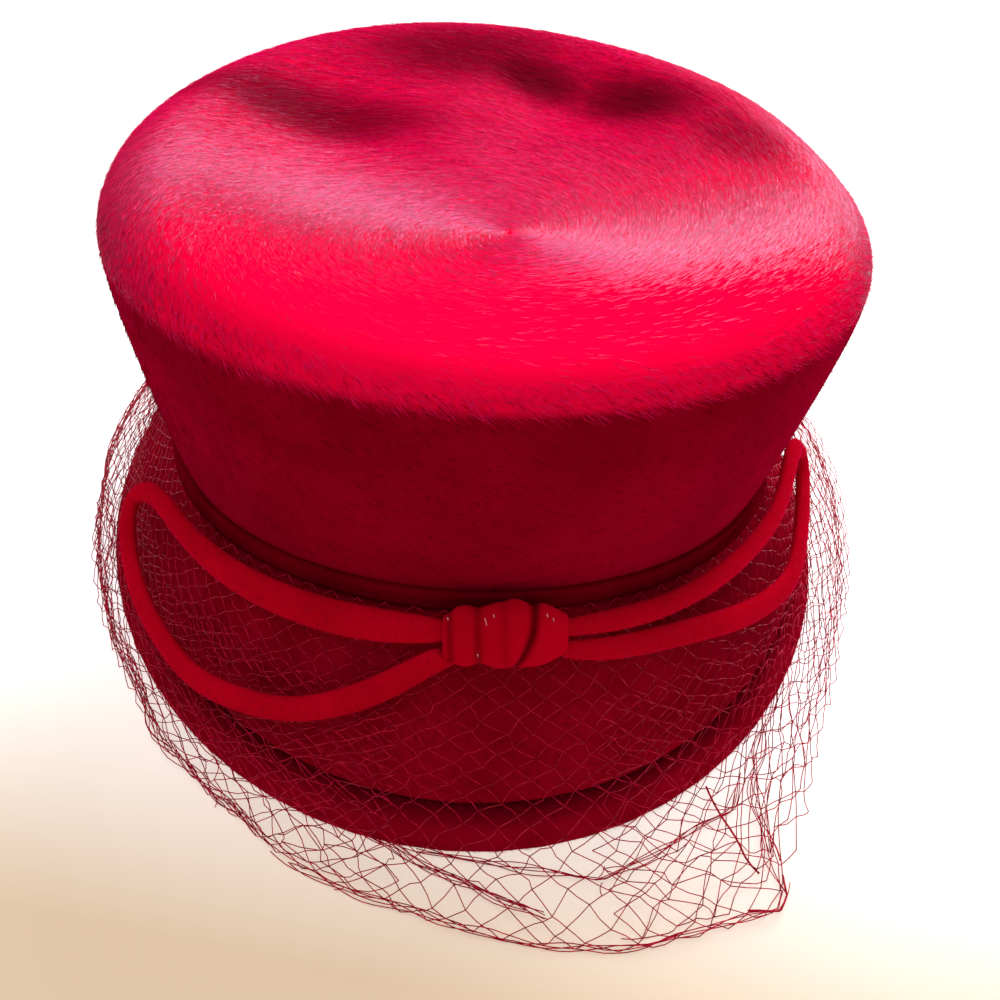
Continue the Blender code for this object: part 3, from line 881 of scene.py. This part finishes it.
def hem_reach(angle):
    """How far past the rim the hem lies, in metres."""
    degrees = (math.degrees(angle) + 180) % 360 - 180
    return np.interp(degrees, [row[0] for row in HEM], [row[1] for row in HEM]) * MM


def surface_tree(*pieces):
    """The faces of some pieces, for finding where a ray meets them."""
    maker = bmesh.new()
    for piece in pieces:
        maker.from_mesh(piece.data)
    tree = BVHTree.FromBMesh(maker)
    maker.free()
    return tree


def felt_point(tree, angle, height):
    """Where a level ray towards the hat's axis meets the felt."""
    away = Vector((math.sin(angle), -math.cos(angle), 0.0))
    start = HAT + away * RAY_START + Vector((0.0, 0.0, height))
    return tree.ray_cast(start, -away)[0]


def rim_point(angle, reach, height):
    """A point outside the rim, by its reach past it and its height."""
    size = (BRIM_HIGH - BRIM_LOW) / 2
    right = math.sin(angle) * (size.x + reach)
    back = -math.cos(angle) * (size.y + reach)
    return HAT + Vector((right, back, height))


def band_height(tree_band, angle):
    """The lowest height at which the waist band is met at an angle."""
    away = Vector((math.sin(angle), -math.cos(angle), 0.0))
    for step in range(40):
        height = BAND_LOW.z + (BAND_HIGH.z - BAND_LOW.z) * step / 39
        start = HAT + away * RAY_START + Vector((0.0, 0.0, height))
        if tree_band.ray_cast(start, -away, RAY_START)[0] is not None:
            return height
    return BAND_LOW.z


def veil_lines(lift, reach_share, sag):
    """The net's surface: for each angle, points from the waist to the hem."""
    felt = ("crown_felt_body", "base_felt_body", "brim_felt_body", "waist_band_strip")
    tree = surface_tree(*(bpy.data.objects[name] for name in felt))
    band_tree = surface_tree(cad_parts["waist_band"])
    tier = BASE_LOW.z
    lines = []
    for step in range(VEIL_LINES):
        angle = 2 * math.pi * step / VEIL_LINES
        top = band_height(band_tree, angle)
        line = []
        for share in np.linspace(0.0, 1.0, VEIL_ON_FELT):
            height = top + (tier + 2.4 * MM - top) * share
            place = felt_point(tree, angle, height)
            away = Vector((math.sin(angle), -math.cos(angle), 0.55)).normalized()
            line.append(place + away * (0.5 * MM + lift * math.sin(math.pi * min(share * 0.8, 0.5))))
        reach = hem_reach(angle) * reach_share
        for part, high in VEIL_PAST_EDGE:
            line.append(rim_point(angle, reach * part, tier * (high + sag)))
        line.append(rim_point(angle, reach * 0.85, tier * 0.2 + sag * 4 * MM))
        line.append(rim_point(angle, reach, THREAD_RADIUS * 2))
        lines.append(np.array(line))
    return np.array(lines)


def length_along(line):
    """How far along a line each of its points lies."""
    steps = np.linalg.norm(np.diff(line, axis=0), axis=1)
    return np.concatenate([[0.0], np.cumsum(steps)])


def surface_point(lines, turn, share):
    """A point of the net's surface by its turn round the hat (0 to 1) and share of its length."""
    count = len(lines)
    place = (turn % 1.0) * count
    low = int(place) % count
    part = place - int(place)
    line = lines[low] * (1 - part) + lines[(low + 1) % count] * part
    run = length_along(line)
    run /= run[-1]
    return np.array([np.interp(share, run, line[:, axis]) for axis in range(3)])


def thread_mesh(name, paths, radius):
    """Fine three-sided tubes along many short paths, as one mesh with closed ends."""
    points = []
    faces = []
    for path in paths:
        path = np.asarray(path)
        along = unit(np.gradient(path, axis=0))
        side = unit(np.cross(along, np.array([[0.13, 0.21, 0.97]])))
        up = np.cross(side, along)
        base = len(points)
        for place, s, u in zip(path, side, up):
            for corner in range(3):
                turn = 2 * math.pi * corner / 3
                points.append(place + radius * (s * math.cos(turn) + u * math.sin(turn)))
        for ring in range(len(path) - 1):
            low = base + ring * 3
            for corner in range(3):
                after = (corner + 1) % 3
                faces.append([low + corner, low + after, low + 3 + after])
                faces.append([low + corner, low + 3 + after, low + 3 + corner])
        faces.append([base + 2, base + 1, base])
        last = base + (len(path) - 1) * 3
        faces.append([last, last + 1, last + 2])
    return mesh_piece(name, np.array(points), np.array(faces))


def nearest_on_line(place, line):
    """The point of a line nearest to a place on the floor, and how far off it is."""
    best, gap = place, math.inf
    for low, high in zip(line, line[1:]):
        run = high - low
        share = min(max(np.dot(place - low, run) / np.dot(run, run), 0.0), 1.0)
        off = np.linalg.norm(place - low - run * share)
        if off < gap:
            best, gap = low + run * share, off
    return best, gap


def on_floor(line):
    """A line's points in metres, in the hat's frame."""
    return np.array(line) * MM + np.array(HAT)[:2]


def gathered(place, lines):
    """Draws a knot that lies on the floor in towards the lines that it is near."""
    if place[2] < NET_FLOOR:
        for line in lines:
            point, gap = nearest_on_line(place[:2], line)
            place[:2] += (point - place[:2]) * GATHER_PULL * math.exp(-(gap / GATHER_REACH) ** 2)
    return place


def net_paths(lines, columns, rows, jitter, seed, start=0.0, turns=(0.0, 1.0)):
    """The two families of threads that cross in knots, over a part of the turn."""
    rng = np.random.default_rng(seed)
    floor_lines = [on_floor(line) for _, _, line in GATHERS]
    knots = {}
    for row in range(rows + 1):
        for column in range(2 * columns):
            turn = column / (2 * columns)
            if (row + column) % 2 == 0 and turns[0] <= turn <= turns[1]:
                share = start + (1 - start) * row / rows
                loose = 0.15 + 0.85 * min(1.0, 2.5 * row / rows)
                turn += rng.normal(0.0, jitter) * loose / (2 * columns)
                share += rng.normal(0.0, jitter) * loose / rows * 0.9
                place = surface_point(lines, turn, min(max(share, 0.0), 1.0))
                knots[row, column] = gathered(place, floor_lines)
    paths = []
    for (row, column), place in knots.items():
        for step in (1, -1):
            other = knots.get((row + 1, (column + step) % (2 * columns)))
            if other is not None:
                middle = (place + other) / 2 + rng.normal(0.0, 0.00022, 3)
                paths.append([place, middle, other])
    return paths


def wandering(line, wander, rng):
    """A loose thread along a line on the floor, swaying to both sides and up and down."""
    run = length_along(line)
    places = np.arange(rng.uniform(0.0, 8 * MM), run[-1] - rng.uniform(0.0, 8 * MM), 2.2 * MM)
    path = np.stack([np.interp(places, run, line[:, axis]) for axis in range(2)], axis=1)
    along = unit(np.gradient(path, axis=0))
    first, second, third = rng.uniform(0.0, 2 * math.pi, 3)
    sway = 0.6 * np.sin(places / (7 * MM) + first) + 0.4 * np.sin(places / (2.9 * MM) + second)
    path = path + np.stack([-along[:, 1], along[:, 0]], axis=1) * (sway * wander)[:, None]
    height = 1.4 * MM + 0.9 * MM * np.sin(places / (9 * MM) + third)
    return np.column_stack([path, height])


def stray_end(line, rng):
    """A short broken thread that curls up off a gathered line."""
    middle = line[rng.integers(1, len(line) - 1)] + rng.normal(0.0, 0.8 * MM, 2)
    heading = rng.uniform(0.0, 2 * math.pi)
    long = rng.uniform(2.0, 4.5) * MM
    path = []
    for share in np.linspace(0.0, 1.0, 5):
        bend = heading + 0.5 * share
        flat = middle + np.array([math.cos(bend), math.sin(bend)]) * long * share
        path.append([*flat, 0.6 * MM + long * 0.35 * share])
    return path


def make_veil():
    """The net, its second layer at the sides, its gathers and the thick loose threads."""
    thread = fibre_material("net_thread", (0.28, 0.003, 0.018), (0.64, 0.010, 0.045), 0.5, 0.3)
    shader = thread.node_tree.nodes["Principled BSDF"]
    shader.inputs["Specular Tint"].default_value = (*THREAD_SHINE, 1.0)
    paths = net_paths(veil_lines(1.2 * MM, 1.0, 0.05), NET_COLUMNS, NET_ROWS, 0.2, 11)
    finish_piece(thread_mesh("veil_net", paths, THREAD_RADIUS), thread, "veil_net", "veil")
    folded = veil_lines(2.4 * MM, 0.84, 0.12)
    paths = net_paths(folded, NET_COLUMNS - 6, NET_ROWS - 2, 0.3, 12, 0.3, (0.03, 0.40))
    paths += net_paths(folded, NET_COLUMNS - 6, NET_ROWS - 2, 0.3, 13, 0.3, (0.60, 0.97))
    finish_piece(thread_mesh("veil_fold", paths, THREAD_RADIUS), thread, "veil_net")
    rng = np.random.default_rng(14)
    loose = []
    for count, wander, line in GATHERS:
        loose += [wandering(on_floor(line), wander * MM, rng) for _ in range(count)]
        loose += [stray_end(on_floor(line), rng) for _ in range(2)]
    finish_piece(thread_mesh("veil_gathers", loose, THREAD_RADIUS), thread, "veil_net")
    thick = [wandering(on_floor(line), 0.7 * MM, rng) for line in THICK_THREADS]
    finish_piece(thread_mesh("veil_thick_threads", thick, THICK_RADIUS), thread, "veil_net")


make_camera()
make_stage()
make_felt()
make_bow()
make_veil()
